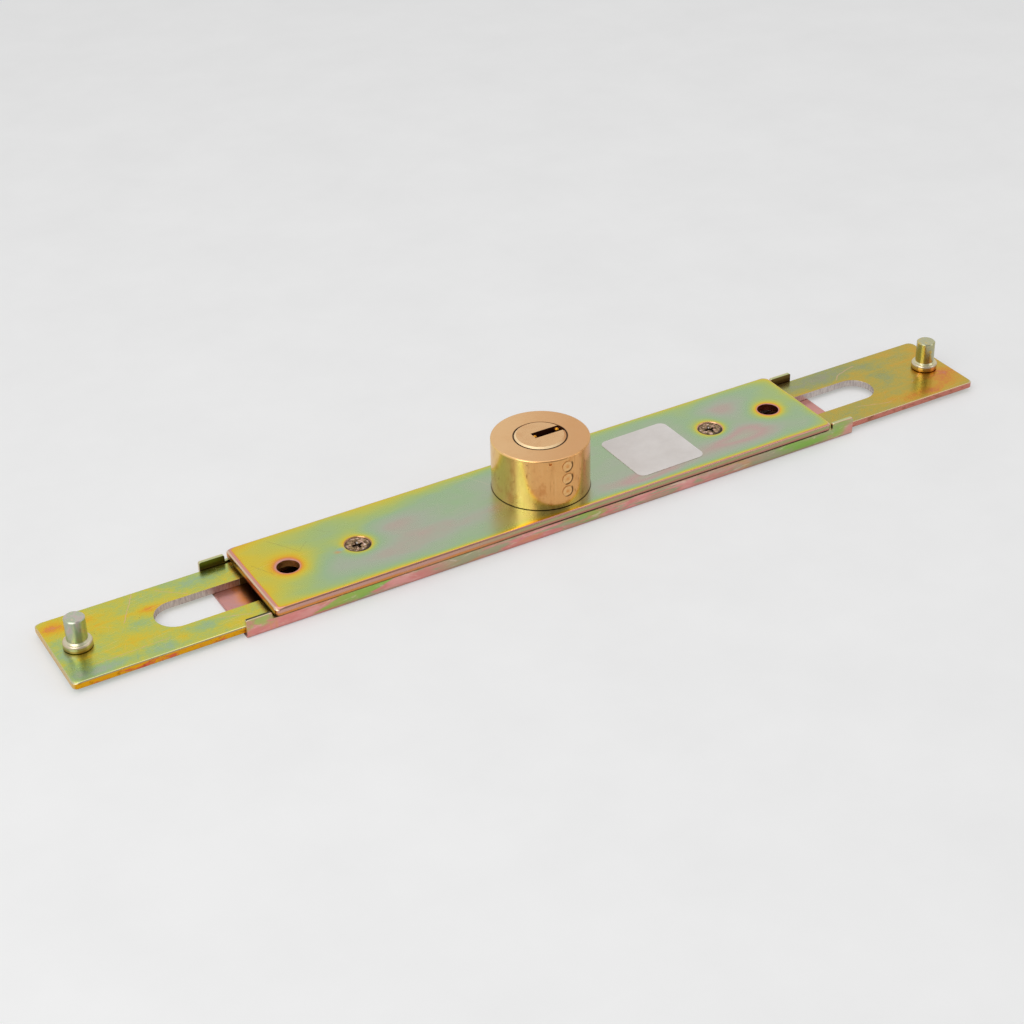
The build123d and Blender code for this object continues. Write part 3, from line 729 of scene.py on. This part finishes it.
def brass_material():
    """The cylinder: turned brass, orange-pink in front and yellower to the left as painted light, its top
    also painted lighter to the left.
    """
    s = Shader("brass_body_turned")
    cloud = s.noise(0.11, 4.0, 0.6, shift=4.0)
    fine = s.noise(0.9, 4.0, 0.7, shift=15.0)
    streaks = s.noise(1.5, 3.0, 0.6, stretch=(1, 1, 0.06), shift=9.0)
    flat = s.step(s.nz, 0.6, 0.9)
    rightwards = s.towards(-view_y, view_x)
    # Painted light: the top lighter towards the left.
    top = s.blend(s.step(rightwards, 15.0, -17.0), (226, 172, 118), (240, 194, 140))
    colour = s.blend(flat, brass_side(s, rightwards, streaks), top)
    colour = s.blend(s.times(s.step(cloud, 0.42, 0.7), 0.2), colour, (222, 162, 98))
    colour = s.blend(s.times(s.step(fine, 0.55, 0.78), 0.12), colour, (168, 118, 62), "MULTIPLY")
    # Painted shade, dark brown, where brass_shade places it.
    colour = s.blend(s.times(brass_shade(s), 0.9), colour, (58, 34, 16))
    rings = s.math("SINE", s.times(s.distance(), 26.0))
    turning = s.noise(3.4, 2.0, 0.5, stretch=(0.05, 0.05, 1.0), shift=2.0)
    height = s.mix(flat, s.add(turning, s.times(streaks, 0.5)), s.times(rings, 0.16))
    height = s.add(height, s.times(fine, 0.08))
    roughness = s.mix(cloud, 0.15, 0.25)
    return s.surface(colour, roughness, s.bump(height, 0.010))


def plug_material():
    """The plug: paler brass with a painted highlight on its bevel, and painted shade, dark red-brown, in
    its groove and keyway.
    """
    s = Shader("brass_plug_turned")
    cloud = s.noise(0.2, 4.0, 0.6, shift=4.0)
    fine = s.noise(1.1, 4.0, 0.7, shift=15.0)
    colour = s.blend(s.times(s.step(cloud, 0.4, 0.7), 0.35), (234, 188, 136), (216, 162, 106))
    colour = s.blend(s.times(s.step(fine, 0.55, 0.78), 0.14), colour, (180, 130, 80), "MULTIPLY")
    # Painted highlight: the bevel paler towards the near left.
    bevel = s.times(s.step(s.nz, 0.97, 0.93), s.step(s.nz, 0.3, 0.45))
    lit = s.step(s.towards(-0.9, -0.43), -6.0, 6.0)
    colour = s.blend(s.times(bevel, 0.9), colour, s.blend(lit, (216, 158, 102), (255, 226, 180)))
    from_keyway = s.size(s.minus(s.y, keyway_middle))
    keyway = s.times(s.step(s.x, keyway_start - 0.2, keyway_start - 0.02),
                     s.step(from_keyway, keyway_half + 0.2, keyway_half + 0.02))
    # Painted shade, dark red-brown: in the groove on the side towards the view, and in the keyway below
    # the face.
    within = s.step(s.distance(), plug_radius - 0.2, plug_radius - 0.5)
    deep = s.times(s.step(s.z, cylinder_top + 0.02, cylinder_top - 0.9),
                   s.most(within, s.step(s.towards(view_x, view_y), -9.0, -5.0)))
    deep = s.most(deep, s.times(keyway, s.step(s.z, plug_face - 0.02, plug_face - 0.2)))
    colour = s.blend(s.times(deep, 0.95), colour, (92, 38, 20))
    rings = s.math("SINE", s.times(s.distance(), 30.0))
    height = s.add(s.times(rings, 0.12), s.times(fine, 0.08))
    roughness = s.add(s.mix(cloud, 0.22, 0.32), s.times(deep, 0.25), s.times(bevel, 0.2))
    return s.surface(colour, roughness, s.bump(height, 0.010))


def chamber_material():
    """The chamber plugs: pale turned faces, an orange smudge in the middle and painted shade on the lower
    right of the seam.
    """
    s = Shader("brass_chamber_faced")
    grain = s.noise(1.4, 3.0, 0.6, shift=8.0)
    colour = s.ramp(grain, ((0.3, (238, 178, 110)), (0.7, (248, 204, 142))))
    radius, slant = from_stack(s)
    colour = s.blend(s.times(s.step(radius, 2.0, 2.3), 0.5), colour, (176, 112, 56))
    # Painted shade: a dark crescent on the seam's lower right.
    seam = s.times(s.step(radius, 1.75, 2.15), s.step(slant, 0.0, 1.2))
    colour = s.blend(s.times(seam, 0.9), colour, (78, 46, 22))
    colour = s.blend(s.times(s.step(radius, 1.3, 0.2), 0.6), colour, (222, 138, 62))
    return s.surface(colour, s.mix(grain, 0.24, 0.36), s.bump(grain, 0.02))


def plain_metal(name, dark, pale, shine):
    """Plain steel or brass, for what lies inside the lock."""
    s = Shader(name)
    grain = s.noise(0.8, 4.0, 0.7, shift=5.0)
    colour = s.ramp(grain, ((0.3, dark), (0.7, pale)))
    return s.surface(colour, s.mix(grain, shine, shine + 0.15), s.bump(grain, 0.02))


def label_material():
    """A bare sticker: smooth white paper, slightly uneven."""
    s = Shader("label_coated_paper")
    cloud = s.noise(0.09, 4.0, 0.6, shift=2.0)
    fibre = s.noise(2.6, 4.0, 0.7, shift=6.0)
    colour = s.ramp(cloud, ((0.3, (224, 217, 212)), (0.7, (236, 230, 226))))
    colour = s.blend(s.times(s.step(fibre, 0.5, 0.75), 0.25), colour, (212, 202, 196))
    height = s.add(cloud, s.times(fibre, 0.2))
    return s.surface(colour, s.mix(cloud, 0.38, 0.5), s.bump(height, 0.05), metallic=0.0)


def wear(node, material):
    """Gives a CAD piece its material."""
    nodes[node].material_slots[0].material = material


def ease_edges(node, width):
    """Breaks the sharp edges of a CAD piece by a fraction of a millimetre."""
    piece = nodes[node]
    weld = piece.modifiers.new("weld", "WELD")
    weld.merge_threshold = 1e-6
    flat = piece.modifiers.new("flat", "DECIMATE")
    flat.decimate_type = "DISSOLVE"
    flat.angle_limit = math.radians(0.5)
    bevel = piece.modifiers.new("edges", "BEVEL")
    bevel.width = width * MM
    bevel.segments = 2
    bevel.limit_method = "ANGLE"
    bevel.angle_limit = math.radians(38)
    shade = piece.modifiers.new("shade", "WEIGHTED_NORMAL")
    shade.mode = "FACE_AREA"
    shade.weight = 50


def place_piece(mesh, name, material, body):
    """Turns a finished mesh into a smooth piece that rides on a body."""
    bmesh.ops.recalc_face_normals(mesh, faces=mesh.faces)
    data = bpy.data.meshes.new(name)
    mesh.to_mesh(data)
    mesh.free()
    for face in data.polygons:
        face.use_smooth = True
    data.materials.append(material)
    piece = bpy.data.objects.new(name, data)
    bpy.context.scene.collection.objects.link(piece)
    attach(piece, body)
    return piece


def join_rings(mesh, rings):
    """Skins a row of rings that have as many points each."""
    for a, b in zip(rings, rings[1:]):
        for k in range(len(a)):
            after = (k + 1) % len(a)
            mesh.faces.new((a[k], a[after], b[after], b[k]))


def add_ring(mesh, centre, first, second, radius, sides):
    """A ring of points around a centre, from one direction towards another."""
    ring = []
    for k in range(sides):
        angle = 2 * math.pi * k / sides
        point = centre + first * radius * math.cos(angle) + second * radius * math.sin(angle)
        ring.append(mesh.verts.new(point * MM))
    return ring


def coil_spring(name, level, replaced):
    """A small compression spring between driver pin and chamber plug."""
    turns, sides, steps = 6, 8, 20
    start, end = span(replaced, Y)
    radius, wire = 1.2, 0.2
    mesh = bmesh.new()
    rings = []
    for i in range(turns * steps + 1):
        share = i / (turns * steps)
        angle = 2 * math.pi * i / steps
        along = start + wire + (end - start - 2 * wire) * share
        out = Vector((math.cos(angle), 0, math.sin(angle)))
        centre = Vector((stack_x, along, level)) + out * radius
        rings.append(add_ring(mesh, centre, out, ALONG_Y, wire, sides))
    join_rings(mesh, rings)
    mesh.faces.new(rings[0][::-1])
    mesh.faces.new(rings[-1])
    spring = place_piece(mesh, name, spring_steel, "base")
    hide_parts(replaced)


def ward_tip(name, x, y):
    """The round brass tip of a keyway ward, up to the plug's face."""
    levels, sides, radius = 5, 20, 0.95
    foot, top = cylinder_top - 0.5, plug_face - 0.02
    mesh = bmesh.new()
    rings = []
    for i in range(levels):
        turn = math.pi / 2 * i / levels
        centre = Vector((x, y, foot + (top - foot) * math.sin(turn)))
        rings.append(add_ring(mesh, centre, ALONG_X, ALONG_Y, radius * math.cos(turn), sides))
    join_rings(mesh, rings)
    mesh.faces.new(rings[0][::-1])
    peak = mesh.verts.new(Vector((x, y, top)) * MM)
    for k in range(sides):
        mesh.faces.new((rings[-1][k], rings[-1][(k + 1) % sides], peak))
    place_piece(mesh, name, ward_brass, "key_barrel")


def floor():
    """A pale floor that stays nearly white to the camera and keeps the object's shadow."""
    half, level = 3.0, -0.2 * MM
    data = bpy.data.meshes.new("studio_floor")
    corners = ((-half, -half, level), (half, -half, level), (half, half, level), (-half, half, level))
    data.from_pydata(corners, [], [(0, 1, 2, 3)])
    plane = bpy.data.objects.new("studio_floor", data)
    bpy.context.scene.collection.objects.link(plane)
    s = Shader("studio_floor_paint")
    fine = s.noise(0.02, 3.0, 0.6, shift=1.0)
    colour = s.ramp(fine, ((0.3, (240, 240, 240)), (0.7, (246, 246, 246))))
    surface = s.node("ShaderNodeBsdfDiffuse", Color=colour)
    glow = s.node("ShaderNodeEmission", Strength=1.0)
    rays = s.node("ShaderNodeLightPath").outputs
    seen = s.times(rays["Is Camera Ray"], 0.35)
    data.materials.append(s.finish(s.layers(seen, surface, glow)))


def world(lit, front):
    """A soft studio: white to the camera, greyer in front of the lock where the metal mirrors it."""
    studio = bpy.data.worlds.new("studio")
    bpy.context.scene.world = studio
    studio.use_nodes = True
    sky = Nodes(studio.node_tree)
    place = sky.node("ShaderNodeTexCoord").outputs["Generated"]
    depth = sky.node("ShaderNodeSeparateXYZ", Vector=place).outputs["Y"]
    rays = sky.node("ShaderNodeLightPath").outputs
    camera_ray = rays["Is Camera Ray"]
    lamp = sky.node("ShaderNodeBackground", Strength=lit)
    shaded = sky.most(sky.step(depth, -0.7, 0.35, front, 1.0), camera_ray)
    back = sky.node("ShaderNodeBackground", Strength=shaded)
    seen = sky.add(camera_ray, rays["Is Glossy Ray"])
    shown = sky.math("ADD", seen, rays["Is Transmission Ray"], clamp=True)
    sky.node("ShaderNodeOutputWorld", Surface=sky.layers(shown, lamp, back).outputs[0])


def softbox(name, place, width, height, glow):
    """A soft white lamp that looks at the lock, as bright as its glow says."""
    data = bpy.data.lights.new(name, "AREA")
    data.shape = "RECTANGLE"
    data.size, data.size_y = width, height
    data.energy = glow * math.pi * width * height
    lamp = bpy.data.objects.new(name, data)
    bpy.context.scene.collection.objects.link(lamp)
    lamp.location = place
    lamp.rotation_euler = (-Vector(place)).to_track_quat("-Z", "Y").to_euler()


def camera():
    """The photograph's view, found from the part's own measured edges."""
    azimuth, elevation, roll = math.radians(-29.2493), math.radians(33.0775), math.radians(-1.3655)
    distance, shift_x, shift_y = 854.7585, -11.8335, -3.8248
    focal_pixels, image_pixels, sensor_width = 2105.314, 1024, 36
    back = Vector((math.sin(azimuth) * math.cos(elevation),
                   -math.cos(azimuth) * math.cos(elevation), math.sin(elevation)))
    right = UPWARDS.cross(back).normalized()
    up = back.cross(right)
    right, up = (right * math.cos(roll) + up * math.sin(roll),
                 up * math.cos(roll) - right * math.sin(roll))
    place = (back * distance + right * shift_x + up * shift_y) * MM
    data = bpy.data.cameras.new("photo_camera")
    data.lens = focal_pixels * sensor_width / image_pixels
    data.sensor_width = sensor_width
    data.clip_start = 0.01
    view = bpy.data.objects.new("photo_camera", data)
    bpy.context.scene.collection.objects.link(view)
    turned = Matrix((right, up, back)).transposed().to_4x4()
    view.matrix_world = Matrix.Translation(place) @ turned
    bpy.context.scene.camera = view


# Materials on the CAD pieces, and the coil springs and ward tips that only the scene has
wear("base_channel", base_material())
wear("cover_plate", cover_material())
for name in ("left", "right"):
    wear(name + "_bolt_bar", bar_material(name))
wear("left_bolt_pin", pin_material(
    "left", ((208, 178, 168), (204, 196, 186), (184, 196, 170), (214, 202, 178)), 0.27))
wear("right_bolt_pin", pin_material(
    "right", ((206, 186, 122), (192, 190, 146), (190, 190, 160), (222, 196, 104)), 0.18))
wear("cover_screws", screw_material())
inner_steel = plain_metal("inner_bright_steel", (128, 124, 118), (176, 172, 164), 0.3)
for name in ("left_guide_spacer", "right_guide_spacer", "cylinder_screws", "drive_pinion"):
    wear(name, inner_steel)
wear("cylinder_body", brass_material())
wear("cylinder_plug", plug_material())
spring_steel = plain_metal("spring_bright_steel", (120, 120, 122), (186, 184, 180), 0.25)
wear("plug_retaining_ring", spring_steel)
chamber = chamber_material()
brass_pin = plain_metal("brass_pin_polished", (196, 150, 84), (226, 186, 116), 0.22)
for name in stack_names:
    wear(name + "_chamber_plug", chamber)
    wear(name + "_key_pin", brass_pin)
    wear(name + "_driver_pin", brass_pin)
    coil_spring(name + "_coil_spring", middle(name + "_pin_spring", Z), name + "_pin_spring")
ward_brass = plain_metal("brass_ward_worn", (206, 132, 30), (236, 168, 54), 0.22)
for name, (ward_x, ward_y) in zip(("inner_ward_tip", "outer_ward_tip"), ward_places):
    ward_tip(name, ward_x, ward_y)
wear("cover_label", label_material())

# Edges of the large pieces, eased by widths in millimetres
for name, width in (("left_bolt_bar", 0.12), ("right_bolt_bar", 0.12), ("base_channel", 0.12),
                    ("cover_plate", 0.1)):
    ease_edges(name, width)

# Studio, with each lamp's place, width and height in metres and its glow
floor()
world(lit=0.55, front=0.5)
softbox("key", (-0.75, -0.35, 0.85), 0.8, 0.8, 2.2)
softbox("fill", (0.9, -0.7, 0.6), 0.7, 0.7, 0.8)
softbox("top", (0.1, 0.3, 1.3), 1.2, 0.9, 0.7)
camera()
bpy.context.scene.view_settings.view_transform = "Standard"
